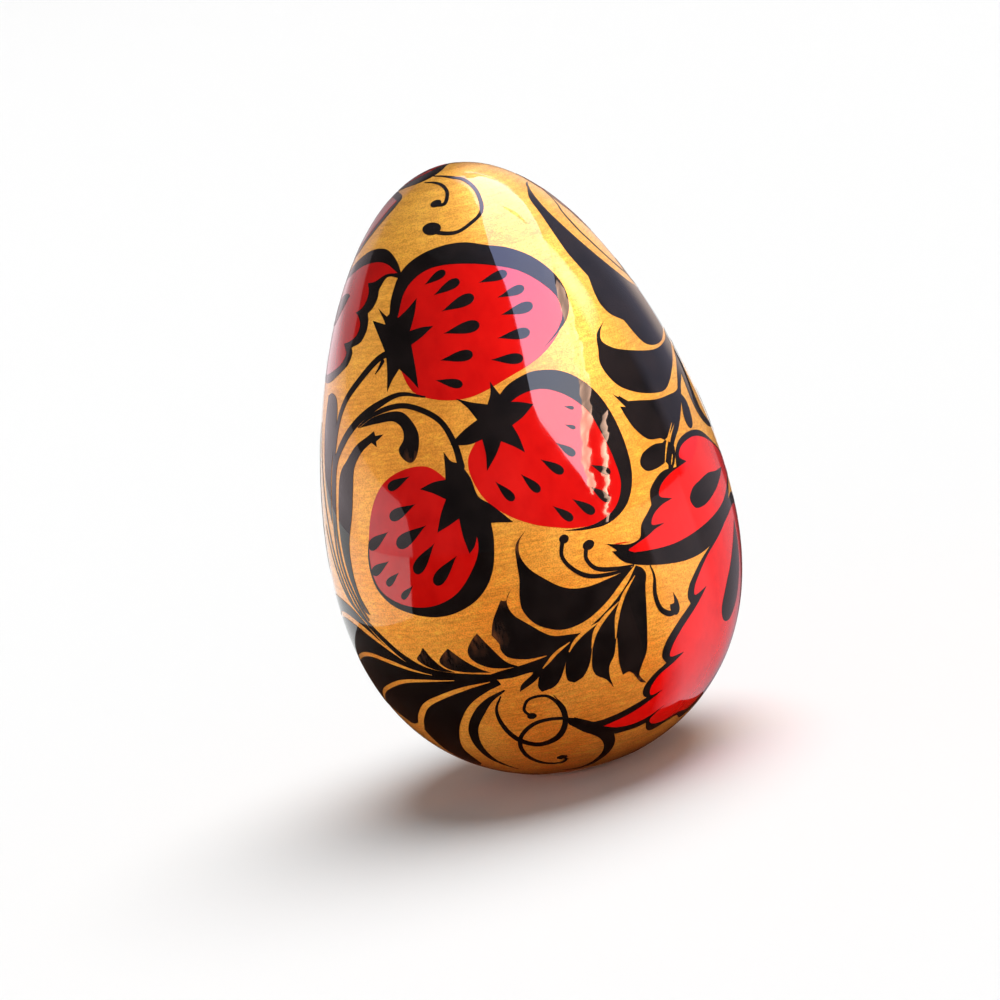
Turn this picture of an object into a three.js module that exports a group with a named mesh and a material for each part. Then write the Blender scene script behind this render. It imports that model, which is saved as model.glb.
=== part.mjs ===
// A lacquered souvenir egg: a solid turned wooden egg with a small flat foot,
// covered by three thin coats. Millimetres, +Z up through the tip, the foot's
// centre at the origin.

import * as THREE from "three";

// Driving dimensions
const HEIGHT = 80.0; // from the foot to the tip, over the lacquer
const FOOT_CUT = 0.9; // taken off the rounded end to make the foot
const ROUND_STEPS = 40; // flats round the axis
const PROFILE_STEPS = 18; // rows from the foot to the tip
const FIRST_ROW = 1.2; // height of the first row above the foot's rim

// Radius over length is sqrt(1 - t^2) * (MIDDLE + TAPER * t + ENDS * t^2), with
// t from -1 at the blunt end to +1 at the tip
const MIDDLE = 0.3206;
const TAPER = -0.0758;
const ENDS = 0.0242;

// Coats, from the outside in
const LACQUER = 0.16;
const GOLD = 0.06;
const PRIMER = 0.1;
const COAT_GAP = 0.02; // clearance between neighbouring coats
const COAT_LIFT = 0.1; // how far above the foot's plane the coats stop

const FULL_LENGTH = HEIGHT + FOOT_CUT;

// The point of the outer surface at t, as [radius, height above the foot]
function surfacePoint(t) {
  const fullness = MIDDLE + TAPER * t + ENDS * t * t;
  const radius = FULL_LENGTH * Math.sqrt(Math.max(0, 1 - t * t)) * fullness;
  const height = (FULL_LENGTH * (1 + t)) / 2 - FOOT_CUT;
  return new THREE.Vector2(radius, height);
}

// The same point moved inwards by depth, square to the surface
function offsetPoint(t, depth) {
  const here = surfacePoint(t);
  if (t >= 1) {
    return new THREE.Vector2(0, here.y - depth);
  }
  const step = 1e-5;
  const along = surfacePoint(t + step).sub(surfacePoint(t - step)).normalize();
  return new THREE.Vector2(here.x - along.y * depth, here.y + along.x * depth);
}

// The t at which the surface at this depth is at the given height
function tAtHeight(height, depth) {
  let low = -1 + 1e-4;
  let high = 0;
  for (let i = 0; i < 50; i += 1) {
    const middle = (low + high) / 2;
    if (offsetPoint(middle, depth).y < height) {
      low = middle;
    } else {
      high = middle;
    }
  }
  return high;
}

// Points from the given height up to the tip, closer together near both ends. All
// but the first share their t between the coats, so that their flats are parallel.
function profile(depth, startHeight) {
  const points = [offsetPoint(tAtHeight(startHeight, depth), depth)];
  const start = Math.acos(-tAtHeight(FIRST_ROW, 0));
  for (let i = 0; i < PROFILE_STEPS; i += 1) {
    const angle = start + ((Math.PI - start) * i) / (PROFILE_STEPS - 1);
    points.push(offsetPoint(-Math.cos(angle), depth));
  }
  points[0].y = startHeight;
  points[PROFILE_STEPS].copy(offsetPoint(1, depth));
  return points;
}

function namedMesh(name, outline, finish) {
  const geometry = new THREE.LatheGeometry(outline, ROUND_STEPS);
  geometry.rotateX(Math.PI / 2); // the lathe turns round Y; the egg stands on Z
  const mesh = new THREE.Mesh(geometry, new THREE.MeshStandardMaterial(finish));
  mesh.name = name;
  return mesh;
}

// A coat is open at the foot: up the outside, over the tip, down the inside
function coat(name, depth, thickness, finish) {
  const outside = profile(depth, COAT_LIFT);
  const inside = profile(depth + thickness, COAT_LIFT);
  const outline = [...inside.reverse(), ...outside];
  return namedMesh(name, outline, finish);
}

// The solid blank, ending in the flat foot
function woodCore(depth) {
  const foot = new THREE.Vector2(0, 0);
  return namedMesh("wood_core", [foot, ...profile(depth, 0)], {
    color: 0xd9b98a,
    roughness: 0.7,
    metalness: 0,
  });
}

const goldDepth = LACQUER + COAT_GAP;
const primerDepth = goldDepth + GOLD + COAT_GAP;
const woodDepth = primerDepth + PRIMER + COAT_GAP;

const egg = new THREE.Group();
egg.add(woodCore(woodDepth));
egg.add(coat("primer_coat", primerDepth, PRIMER, { color: 0x8a5a3c, roughness: 0.8, metalness: 0 }));
egg.add(coat("gold_coat", goldDepth, GOLD, { color: 0xd9a441, roughness: 0.35, metalness: 0.9 }));
egg.add(coat("lacquer_coat", 0, LACQUER, { color: 0xe0952e, roughness: 0.05, metalness: 0 }));

export default egg;
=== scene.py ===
# A lacquered, painted wooden egg: gold ground, black and red brushwork, bare wooden foot.
# The egg's lengths are in millimetres until a mesh is made; angles are in degrees.

import math

import bpy
import numpy as np
from mathutils import Matrix, Vector
from mathutils.geometry import delaunay_2d_cdt

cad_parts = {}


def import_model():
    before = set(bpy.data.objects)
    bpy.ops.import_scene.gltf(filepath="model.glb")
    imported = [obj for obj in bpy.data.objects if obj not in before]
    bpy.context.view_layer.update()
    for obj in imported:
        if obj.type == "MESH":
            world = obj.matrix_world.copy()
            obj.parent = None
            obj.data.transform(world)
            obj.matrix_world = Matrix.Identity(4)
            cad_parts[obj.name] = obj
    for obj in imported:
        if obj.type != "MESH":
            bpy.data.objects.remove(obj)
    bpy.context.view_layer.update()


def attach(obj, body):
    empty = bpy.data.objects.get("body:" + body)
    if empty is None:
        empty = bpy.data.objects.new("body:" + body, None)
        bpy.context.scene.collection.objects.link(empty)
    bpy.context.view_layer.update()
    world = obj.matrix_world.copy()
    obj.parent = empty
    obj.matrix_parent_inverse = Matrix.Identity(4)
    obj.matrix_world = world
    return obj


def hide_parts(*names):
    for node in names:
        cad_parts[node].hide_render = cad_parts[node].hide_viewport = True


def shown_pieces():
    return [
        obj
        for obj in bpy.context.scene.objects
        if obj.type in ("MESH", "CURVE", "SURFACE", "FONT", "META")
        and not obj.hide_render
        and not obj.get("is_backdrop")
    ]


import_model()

MM = 0.001

# The egg's outline, as in the CAD model
FULL_LENGTH = 80.9
FOOT_CUT = 0.9
FULLNESS = (0.3206, -0.0758, 0.0242)

# How far below the lacquer's outer surface each visible surface lies
GOLD_DEPTH = 0.10
GOLD_BACK = 0.24
PRIMER_DEPTH = 0.26
PRIMER_BACK = 0.36
WOOD_DEPTH = 0.38
COAT_LIFT = 0.1  # height of the coats' rims above the foot
PAINT_BACK = 0.11
PAINT_DEPTHS = (0.086, 0.070, 0.054, 0.038, 0.022)
PAINT_STAGGER = 0.0012  # between pieces made one after the other, so that they don't coincide
STAGGER_STEPS = 5

# Paint levels, from the lowest up: places in PAINT_DEPTHS
UNDER, LINES, INSET, DROPS, DOTS = range(5)

# How finely meshes are divided
COAT_STEPS = 96
COAT_ROWS = 60
GOLD_STEPS = 240
GOLD_ROWS = 180
TABLE_ROWS = 6001
FINE_ROWS = 20001
END_STEPS = 8
BLOB_STEPS = 24
SEED_STEPS = 28
OUTLINE_STEP = 0.35
GRID_STEP = 0.8
GRID_ROW = 0.87 * GRID_STEP  # rows of even triangles
LEAST_RADIUS = 0.05  # so that a degree of longitude always has a width
MERGE_DISTANCE = 1e-4
TINY = 1e-6

# Brush strokes: the least half width, and the one from which the ends are round
THINNEST = 0.02
ROUND_FROM = 0.12

# Seeds: how far tail and head reach past their marks, over the length, and the tail's taper
TAIL_PAST = 0.06
HEAD_PAST = 0.05
SEED_TAPER = 0.9

# The camera, in degrees and millimetres
CAMERA_TILT = 10.0
CAMERA_ROLL = 13.24
CAMERA_DISTANCE = 450
CAMERA_AIM = (-2.025, -4.582)  # right and up from the egg's middle
CAMERA_LENS = 124.94

# The studio, in metres
SHEET_DISTANCE = 0.9
ROOM_DISTANCE = 1.1
GLOW_HEIGHT = 0.0015
FLOOR_DROP = 1e-5  # below the foot
WORLD_STRENGTH = 0.12

# Radiance of what the lacquer reflects
DARK = Vector((0, 0, 0))
ROOM = Vector((0.06, 0.045, 0.045))
WINDOW_LOW = Vector((3.7, 4.0, 4.8))
WINDOW_HIGH = Vector((2.6, 3.0, 5.2))
WINDOW_TOP = Vector((5.0, 4.7, 6.4))
WINDOW_SIDE = Vector((7.0, 6.6, 5.6))
CURTAIN = Vector((17.0, 10.5, 7.5))
SKY = Vector((0.36, 0.36, 0.50))
LEFT = Vector((1.22, 1.03, 1.08))
FAR_RIGHT = Vector((0.9, 0.72, 0.66))
HAND = Vector((1.0, 0.85, 0.95))

C = True  # marks a corner of an outline

# ---------------------------------------------------------------- the egg's surface


def lathe_point(t):
    """Radius and height of the outer surface, t from -1 at the blunt end to 1 at the tip."""
    middle, taper, ends = FULLNESS
    radius = FULL_LENGTH * np.sqrt(np.maximum(0, 1 - t * t)) * (middle + taper * t + ends * t * t)
    return radius, FULL_LENGTH * (1 + t) / 2 - FOOT_CUT


T_TABLE = -np.cos(np.linspace(0, math.pi, TABLE_ROWS))
R_TABLE, Z_TABLE = lathe_point(T_TABLE)
S_TABLE = np.concatenate([[0], np.cumsum(np.hypot(np.diff(R_TABLE), np.diff(Z_TABLE)))])
LENGTH = S_TABLE[-1]
DR_TABLE = np.gradient(R_TABLE, S_TABLE)
DZ_TABLE = np.gradient(Z_TABLE, S_TABLE)


def radius_at(s):
    """Radius at s, the distance up the side from the uncut blunt end."""
    return np.maximum(np.interp(s, S_TABLE, R_TABLE), LEAST_RADIUS)


def on_egg(lon, s, depth):
    """Points and outward normals at longitude lon, which is 0 towards -Y and 90 towards +X."""
    a = np.radians(lon)
    dr = np.interp(s, S_TABLE, DR_TABLE)
    dz = np.interp(s, S_TABLE, DZ_TABLE)
    size = np.hypot(dr, dz)
    nr, nz = dz / size, -dr / size
    r = np.interp(s, S_TABLE, R_TABLE) - nr * depth
    z = np.interp(s, S_TABLE, Z_TABLE) - nz * depth
    points = np.stack([r * np.sin(a), -r * np.cos(a), z], axis=-1)
    normals = np.stack([nr * np.sin(a), -nr * np.cos(a), nz], axis=-1)
    return points, normals


# ---------------------------------------------------------------- meshes


def add_object(name, vertices, faces, material, unit=MM):
    mesh = bpy.data.meshes.new(name)
    mesh.from_pydata((np.asarray(vertices) * unit).tolist(), [], faces)
    mesh.polygons.foreach_set("use_smooth", [True] * len(mesh.polygons))
    mesh.materials.append(material)
    mesh.update()
    made = bpy.data.objects.new(name, mesh)
    bpy.context.collection.objects.link(made)
    return made


def lathe(name, outline, steps, slot, *nodes):
    """Turns a closed outline of (radius, height) round Z; points on the axis become one vertex."""
    vertices, rings = [], []
    for radius, height in outline:
        if radius < TINY:
            rings.append([len(vertices)])
            vertices.append((0, 0, height))
            continue
        rings.append(list(range(len(vertices), len(vertices) + steps)))
        for k in range(steps):
            a = 2 * math.pi * k / steps
            vertices.append((radius * math.sin(a), -radius * math.cos(a), height))
    faces = []
    for low, high in zip(rings, rings[1:] + rings[:1]):
        if len(low) == 1 and len(high) == 1:
            continue
        for k in range(steps):
            n = (k + 1) % steps
            corners = [low[k % len(low)], low[n % len(low)], high[n % len(high)], high[k % len(high)]]
            faces.append(tuple(dict.fromkeys(corners)))
    made = add_object(name, vertices, faces, MATERIALS[slot])
    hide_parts(*nodes)
    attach(made, "root")
    return made


def profile(depth, start_height, rows):
    """The outline at this depth from start_height up to the tip, closer together near both ends."""
    s = np.linspace(0, LENGTH, FINE_ROWS)
    points, _ = on_egg(np.zeros_like(s), s, depth)
    height = points[:, 2]
    first = np.argmax(height > start_height)
    spaced = s[first] + (LENGTH - s[first]) * (1 - np.cos(np.linspace(0, math.pi, rows))) / 2
    rows_at, _ = on_egg(np.zeros(rows), spaced, depth)
    outline = [(-y, z) for _, y, z in rows_at]
    outline[0] = (outline[0][0], start_height)
    outline[-1] = (0, outline[-1][1])
    return outline


def shell_outline(depth, back, rows):
    """A coat from the outside in, open at the foot."""
    outside = profile(depth, COAT_LIFT, rows)
    inside = profile(back, COAT_LIFT, rows // 2)
    return outside + inside[::-1]


# ---------------------------------------------------------------- brushwork


def smooth_run(points, closed):
    """Points about OUTLINE_STEP apart on a centripetal Catmull-Rom curve through the given ones."""
    p = np.array(points, dtype=float)
    if len(p) == 2 and not closed:
        count = max(1, math.ceil(np.linalg.norm(p[1] - p[0]) / OUTLINE_STEP))
        return p[0] + (p[1] - p[0]) * np.linspace(0, 1, count + 1)[:, None]
    if closed:
        p = np.vstack([p[-1:], p, p[:2]])
    else:
        p = np.vstack([2 * p[:1] - p[1:2], p, 2 * p[-1:] - p[-2:-1]])
    gap = np.sqrt(np.maximum(np.linalg.norm(np.diff(p, axis=0), axis=1), TINY))
    pieces = []
    for i in range(1, len(p) - 2):
        a, b, c, d = p[i - 1:i + 3]
        ga, gb, gc = gap[i - 1:i + 2]
        start = gb * ((b - a) / ga - (c - a) / (ga + gb) + (c - b) / gb)
        end = gb * ((c - b) / gb - (d - b) / (gb + gc) + (d - c) / gc)
        count = max(2, math.ceil(np.linalg.norm(c - b) / OUTLINE_STEP))
        t = (np.arange(count) / count)[:, None]
        pieces.append((2 * t**3 - 3 * t**2 + 1) * b + (t**3 - 2 * t**2 + t) * start
                      + (3 * t**2 - 2 * t**3) * c + (t**3 - t**2) * end)
    if not closed:
        pieces.append(p[-2:-1])
    return np.vstack(pieces)


def smooth_outline(points, corners):
    """A closed outline, smooth between its corners."""
    if not any(corners):
        return smooth_run(points, True)
    first = corners.index(True)
    points = list(points[first:]) + list(points[:first + 1])
    corners = corners[first:] + corners[:first + 1]
    runs, run = [], [points[0]]
    for point, corner in zip(points[1:], corners[1:]):
        run.append(point)
        if corner:
            runs.append(smooth_run(run, False)[:-1])
            run = [point]
    return np.vstack(runs)


def inside(middles, outline):
    """Which points lie inside a closed outline, as an index array."""
    low, high = outline.min(axis=0), outline.max(axis=0)
    near = np.flatnonzero(np.all((middles > low) & (middles < high), axis=1))
    x, y = middles[near].T[:, :, None]
    x0, y0 = outline.T
    x1, y1 = np.roll(outline, -1, axis=0).T
    side = (x1 - x0) * (y - y0) - (x - x0) * (y1 - y0)
    upward = (y0 <= y) & (y1 > y) & (side > 0)
    downward = (y0 > y) & (y1 <= y) & (side < 0)
    return near[upward.sum(axis=1) != downward.sum(axis=1)]


class Paint:
    """One colour of one motif: outlines and strokes on the egg, made into one thin solid."""

    count = 0
    suffix, turn, flip, lift = "", 0.0, 1, 0.0  # where a repeated motif goes

    def __init__(self, name, slot, level, lon):
        self.name, self.slot, self.level = name + Paint.suffix, slot, level
        self.lon = Paint.turn + Paint.flip * lon
        self.faces, self.dry = [], []

    def flat(self, points):
        """(lon, s) as millimetres on an unrolled patch about this motif's own longitude."""
        placed = [(Paint.turn + Paint.flip * p[0] - self.lon, p[1] + Paint.lift) for p in points]
        return [(math.radians(lon) * float(radius_at(s)), s) for lon, s in placed]

    def face(self, points, cut=False):
        """A closed outline on the patch; a cut one takes paint away."""
        self.faces.append((np.array(points, dtype=float), cut))

    def shape(self, *points):
        """A closed outline through (lon, s), or (lon, s, C) at a corner."""
        corners = [len(p) > 2 for p in points]
        self.face(smooth_outline(self.flat(points), corners))

    def stroke(self, widths, *points, cut=False):
        """A brush line; its width changes evenly from each given width to the next."""
        line = smooth_run(self.flat(points), False)
        along = np.concatenate([[0], np.cumsum(np.linalg.norm(np.diff(line, axis=0), axis=1))])
        knots = np.linspace(0, along[-1], len(widths))
        half = np.interp(along, knots, widths) / 2
        tangent = np.gradient(line, along, axis=0)
        tangent /= np.linalg.norm(tangent, axis=1)[:, None]
        side = np.stack([-tangent[:, 1], tangent[:, 0]], axis=1) * np.maximum(half, THINNEST)[:, None]
        left, right = line + side, line - side
        for k in range(len(line) - 1):
            self.face([right[k], right[k + 1], left[k + 1], left[k]], cut)
        for k, way in ((0, -1), (len(line) - 1, 1)):
            if half[k] > ROUND_FROM:
                self.round_end(line[k], tangent[k] * way, half[k], cut)

    def round_end(self, centre, way, half, cut):
        side = np.array([-way[1], way[0]])
        angles = np.linspace(-math.pi / 2, math.pi / 2, END_STEPS + 1)
        self.face([centre + half * (math.sin(a) * side + math.cos(a) * way) for a in angles], cut)

    def blob(self, centre, long_radius, short_radius, turn=0.0):
        """An ellipse, turned anticlockwise."""
        x, y = self.flat([centre])[0]
        c, s = math.cos(math.radians(turn)), math.sin(math.radians(turn)) * Paint.flip
        ring = []
        for a in np.linspace(0, 2 * math.pi, BLOB_STEPS + 1)[:-1]:
            u, v = long_radius * math.cos(a), short_radius * math.sin(a)
            ring.append((x + u * c - v * s, y + u * s + v * c))
        self.face(ring)

    def seeds(self, plump, *pairs):
        """A drop from each pointed tail to its round head; plump sets how wide it is."""
        for tail, head in pairs:
            (x0, y0), (x1, y1) = self.flat([tail, head])
            x0, y0 = x0 - TAIL_PAST * (x1 - x0), y0 - TAIL_PAST * (y1 - y0)
            x1, y1 = x1 + HEAD_PAST * (x1 - x0), y1 + HEAD_PAST * (y1 - y0)
            length = math.hypot(x1 - x0, y1 - y0)
            ux, uy = (x1 - x0) / length, (y1 - y0) / length
            ring = []
            for a in np.linspace(0, 2 * math.pi, SEED_STEPS + 1)[:-1]:
                along = (1 - math.cos(a)) / 2
                across = plump * length * math.sin(a) * along**SEED_TAPER
                forward = length * along
                ring.append((x0 + ux * forward - uy * across, y0 + uy * forward + ux * across))
            self.face(ring)

    def fade(self, radius, *centres):
        """Places where the brush ran dry and the ground shows through."""
        self.dry.extend((centre, radius) for centre in self.flat(centres))

    def grid(self, low, high):
        """Points across the patch, so that its triangles follow the egg's curve."""
        rows = []
        for k, y in enumerate(np.arange(low[1], high[1], GRID_ROW)):
            shift = GRID_STEP / 2 if k % 2 else 0.0
            rows.extend((x, y) for x in np.arange(low[0] + shift, high[0], GRID_STEP))
        return rows

    def build(self):
        """Cuts the patch along every outline and keeps what is painted and not cut away."""
        corners, edges = [], []
        for points, _ in self.faces:
            first, size = len(corners), len(points)
            corners.extend(map(tuple, points))
            edges.extend((first + k, first + (k + 1) % size) for k in range(size))
        low, high = np.min(corners, axis=0), np.max(corners, axis=0)
        flat_points = [Vector(p) for p in corners + self.grid(low, high)]
        result = delaunay_2d_cdt(flat_points, edges, [], 0, MERGE_DISTANCE, False)
        xy = np.array(result[0])
        triangles = np.array(result[2])
        middles = xy[triangles].mean(axis=1)
        painted = np.zeros(len(triangles), dtype=bool)
        for cut in (False, True):
            for points, is_cut in self.faces:
                if is_cut == cut:
                    painted[inside(middles, points)] = not cut
        triangles = triangles[painted]
        used, triangles = np.unique(triangles, return_inverse=True)
        self.solid(xy[used], triangles.reshape(-1, 3).tolist())

    def place(self, xy):
        """The longitude and s of points on this motif's patch."""
        return self.lon + np.degrees(xy[:, 0] / radius_at(xy[:, 1])), xy[:, 1]

    def solid(self, xy, triangles):
        """A thin solid with the triangles on top, the same below and a wall round the rim."""
        lon, s = self.place(xy)
        top_depth = PAINT_DEPTHS[self.level] - PAINT_STAGGER * (Paint.count % STAGGER_STEPS)
        Paint.count += 1
        top, normals = on_egg(lon, s, top_depth)
        bottom, _ = on_egg(lon, s, PAINT_BACK)
        total = len(xy)
        sides = dict.fromkeys(side for a, b, c in triangles for side in ((a, b), (b, c), (c, a)))
        rim = [(a, b) for a, b in sides if (b, a) not in sides]
        faces = [tuple(t) for t in triangles]
        faces += [(a + total, c + total, b + total) for a, b, c in triangles]
        faces += [(b, a, a + total, b + total) for a, b in rim]
        made = add_object(self.name, np.vstack([top, bottom]), faces, MATERIALS[self.slot])
        self.set_normals(made.data, normals, len(triangles), total)
        self.set_dryness(made.data, xy, total)
        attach(made, "root")

    def set_normals(self, mesh, normals, count, total):
        """The egg's own normals on top, so that reflections run on from piece to piece."""
        loops = np.empty(len(mesh.loops), dtype=np.int32)
        mesh.loops.foreach_get("vertex_index", loops)
        custom = np.zeros((len(loops), 3))
        custom[:count * 3] = normals[loops[:count * 3]]
        custom[count * 3:count * 6] = -normals[loops[count * 3:count * 6] - total]
        for polygon in mesh.polygons[count * 2:]:
            custom[polygon.loop_start:polygon.loop_start + 4] = polygon.normal
        mesh.normals_split_custom_set(custom.tolist())

    def set_dryness(self, mesh, xy, total):
        """Stores how dry the brush was, from 0 to 1, for the material to read."""
        dry = np.zeros(total)
        for centre, reach in self.dry:
            distance = np.linalg.norm(xy - np.array(centre), axis=1)
            dry = np.maximum(dry, np.clip(1 - distance / reach, 0, 1))
        layer = mesh.attributes.new("dryness", "FLOAT", "POINT")
        layer.data.foreach_set("value", np.concatenate([dry, dry]))


class TipPaint(Paint):
    """Paint over the tip; its points are (x, y) millimetres from the tip, laid out flat."""

    def flat(self, points):
        return [(p[0], p[1]) for p in points]

    def place(self, xy):
        x, y = xy.T
        return np.degrees(np.arctan2(x, -y)), LENGTH - np.hypot(x, y)


def again(suffix, turn, flip, lift, *motifs):
    """Paints motifs once more, turned round the egg, mirrored if flip is -1, and raised by lift."""
    Paint.suffix, Paint.turn, Paint.flip, Paint.lift = suffix, turn, flip, lift
    for motif in motifs:
        motif()
    Paint.suffix, Paint.turn, Paint.flip, Paint.lift = "", 0.0, 1, 0.0


# ---------------------------------------------------------------- materials


class Nodes:
    """Short names for building a node material."""

    def __init__(self, name):
        self.material = bpy.data.materials.new(name)
        self.material.use_nodes = True
        self.tree = self.material.node_tree
        self.shader = self.tree.nodes["Principled BSDF"]

    def node(self, kind, **values):
        made = self.tree.nodes.new(kind)
        for key, value in values.items():
            setattr(made, key, value)
        return made

    def link(self, out, into):
        self.tree.links.new(out, into)

    def set(self, **values):
        for key, value in values.items():
            self.shader.inputs[key.replace("_", " ")].default_value = value

    def coordinates(self, scale=(1, 1, 1)):
        source = self.node("ShaderNodeTexCoord")
        mapping = self.node("ShaderNodeMapping")
        mapping.inputs["Scale"].default_value = scale
        self.link(source.outputs["Object"], mapping.inputs["Vector"])
        return mapping.outputs["Vector"]

    def height(self):
        """The height above the foot, in metres."""
        split = self.node("ShaderNodeSeparateXYZ")
        self.link(self.coordinates(), split.inputs["Vector"])
        return split.outputs["Z"]

    def noise(self, scale, detail=3.0, stretch=(1, 1, 1), roughness=0.5):
        made = self.node("ShaderNodeTexNoise")
        made.inputs["Scale"].default_value = scale
        made.inputs["Detail"].default_value = detail
        made.inputs["Roughness"].default_value = roughness
        self.link(self.coordinates(stretch), made.inputs["Vector"])
        return made.outputs["Fac"]

    def ramp(self, value, *stops):
        """stops are (position, colour)."""
        made = self.node("ShaderNodeValToRGB")
        elements = made.color_ramp.elements
        while len(elements) < len(stops):
            elements.new(0.5)
        for element, (position, colour) in zip(elements, stops):
            element.position = position
            element.color = (*colour, 1)
        self.link(value, made.inputs["Fac"])
        return made.outputs["Color"]

    def span(self, value, low, high, to_low, to_high):
        """Maps low..high to to_low..to_high, and keeps to those limits."""
        made = self.node("ShaderNodeMapRange")
        limits = {"From Min": low, "From Max": high, "To Min": to_low, "To Max": to_high}
        for key, number in limits.items():
            made.inputs[key].default_value = number
        self.link(value, made.inputs["Value"])
        return made.outputs["Result"]

    def mix(self, factor, first, second):
        made = self.node("ShaderNodeMix", data_type="RGBA")
        for socket, source in (("Factor", factor), ("A", first), ("B", second)):
            target = next(i for i in made.inputs if i.name == socket and i.enabled)
            if isinstance(source, (int, float)):
                target.default_value = source
            elif isinstance(source, tuple):
                target.default_value = (*source, 1)
            else:
                self.link(source, target)
        return next(o for o in made.outputs if o.enabled)

    def math(self, operation, first, second):
        made = self.node("ShaderNodeMath", operation=operation)
        for target, source in zip(made.inputs, (first, second)):
            if isinstance(source, (int, float)):
                target.default_value = source
            else:
                self.link(source, target)
        return made.outputs["Value"]

    def colour(self, source):
        self.link(source, self.shader.inputs["Base Color"])

    def roughness(self, source):
        self.link(source, self.shader.inputs["Roughness"])

    def bump(self, height, strength, distance):
        made = self.node("ShaderNodeBump")
        made.inputs["Strength"].default_value = strength
        made.inputs["Distance"].default_value = distance
        self.link(height, made.inputs["Height"])
        self.link(made.outputs["Normal"], self.shader.inputs["Normal"])

    def lacquer(self):
        self.set(Coat_Weight=1.0, Coat_Roughness=0.015, Coat_IOR=1.5)


def gold_material():
    """Rubbed metal powder: part mirror, part haze, with the turning marks left by the rubbing."""
    n = Nodes("gold_ground")
    n.lacquer()
    n.set(Metallic=0.55)
    grain = n.noise(5200.0, 2.0)
    turning = n.noise(1.0, 4.0, (60, 60, 2600), 0.6)
    clouds = n.noise(90.0, 3.0)
    ripples = n.noise(1.0, 4.0, (750, 750, 2900), 0.7)
    # Painted light by height: brighter in the lower third than in the middle, to make up for the lamps
    # leaving the lower half darker, and deeper orange towards the foot, partly the lacquer's own tone;
    # lighter and yellower again at the top, a painted highlight where the window falls.
    ground = n.ramp(
        n.span(n.height(), 0.0, 0.078, 0.0, 1.0), (0.0, (1.0, 0.20, 0.022)), (0.22, (1.0, 0.28, 0.024)),
        (0.38, (1.0, 0.33, 0.028)), (0.50, (0.82, 0.31, 0.028)), (0.65, (0.80, 0.31, 0.035)),
        (1.0, (0.93, 0.43, 0.055)))
    rubbed = n.mix(n.span(turning, 0.35, 0.68, 0.0, 0.55), ground, (0.46, 0.15, 0.012))
    worn = n.mix(n.span(clouds, 0.40, 0.65, 0.0, 0.35), rubbed, (1.0, 0.52, 0.09))
    speckled = n.mix(n.span(grain, 0.45, 0.60, 0.0, 0.5), worn, (0.40, 0.13, 0.008))
    # Painted glints: bright yellow where the ripples rise, standing in for the light that they catch.
    painted_glints = n.mix(n.span(ripples, 0.53, 0.68, 0.0, 0.42), speckled, (1.0, 0.58, 0.06))
    # Painted shade where the ripples dip.
    n.colour(n.mix(n.span(ripples, 0.45, 0.34, 0.0, 0.42), painted_glints, (0.38, 0.13, 0.006)))
    n.roughness(n.span(grain, 0.3, 0.7, 0.36, 0.50))
    fine = n.math("ADD", grain, n.math("MULTIPLY", ripples, 2.0))
    n.bump(n.math("ADD", n.math("MULTIPLY", turning, 0.7), fine), 0.5, 0.00005)
    return n.material


def red_material():
    n = Nodes("red_paint")
    n.lacquer()
    n.set(Specular_IOR_Level=0.45)
    patches = n.noise(260.0, 3.0)
    bristle = n.noise(1.0, 3.0, (900, 900, 500))
    base = n.ramp(patches, (0.3, (0.48, 0.0012, 0.001)), (0.7, (0.60, 0.003, 0.002)))
    n.colour(n.mix(n.span(bristle, 0.35, 0.7, 0.0, 0.25), base, (0.68, 0.008, 0.004)))
    n.roughness(n.span(patches, 0.3, 0.7, 0.05, 0.09))
    return n.material


def black_material():
    """Black paint, with the gold showing through in streaks where the brush ran dry."""
    n = Nodes("black_paint")
    n.lacquer()
    n.set(Specular_IOR_Level=0.1)
    dryness = n.node("ShaderNodeAttribute", attribute_name="dryness").outputs["Fac"]
    streaks = n.noise(900.0, 4.0, (1, 1, 0.35), 0.65)
    patches = n.noise(300.0, 2.0)
    base = n.ramp(patches, (0.35, (0.003, 0.002, 0.002)), (0.75, (0.009, 0.005, 0.004)))
    thin = n.math("MULTIPLY", dryness, n.span(streaks, 0.45, 0.62, 0.0, 1.0))
    n.colour(n.mix(n.math("MULTIPLY", thin, 0.6), base, (0.20, 0.058, 0.014)))
    n.roughness(n.span(patches, 0.3, 0.7, 0.4, 0.6))
    return n.material


def primer_material():
    n = Nodes("primer")
    n.set(Specular_IOR_Level=0.3)
    n.colour(n.ramp(n.noise(2500.0), (0.3, (0.26, 0.11, 0.055)), (0.7, (0.42, 0.20, 0.10))))
    n.roughness(n.span(n.noise(900.0), 0.3, 0.7, 0.7, 0.9))
    return n.material


def wood_material():
    """Sanded end grain: pale rings about a point beside the axis, and fine pores."""
    n = Nodes("limewood")
    n.set(Specular_IOR_Level=0.35)
    rings = n.node("ShaderNodeTexWave", wave_type="RINGS", rings_direction="Z")
    rings.inputs["Scale"].default_value = 160.0
    rings.inputs["Distortion"].default_value = 1.6
    rings.inputs["Detail"].default_value = 2.0
    shift = n.node("ShaderNodeMapping")
    shift.inputs["Location"].default_value = (0.011, 0.006, 0)
    n.link(n.coordinates(), shift.inputs["Vector"])
    n.link(shift.outputs["Vector"], rings.inputs["Vector"])
    pores = n.noise(7000.0, 2.0)
    base = n.ramp(
        rings.outputs["Fac"], (0.0, (0.56, 0.36, 0.19)), (0.55, (0.70, 0.50, 0.29)),
        (1.0, (0.74, 0.56, 0.35)))
    n.colour(n.mix(n.span(pores, 0.55, 0.7, 0.0, 0.6), base, (0.36, 0.20, 0.09)))
    n.roughness(n.span(pores, 0.3, 0.7, 0.6, 0.8))
    n.bump(pores, 0.4, 0.00005)
    return n.material


MATERIALS = {
    "gold_ground": gold_material(),
    "red_paint": red_material(),
    "black_paint": black_material(),
    "primer": primer_material(),
    "limewood": wood_material(),
}

# ---------------------------------------------------------------- turned parts

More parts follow.
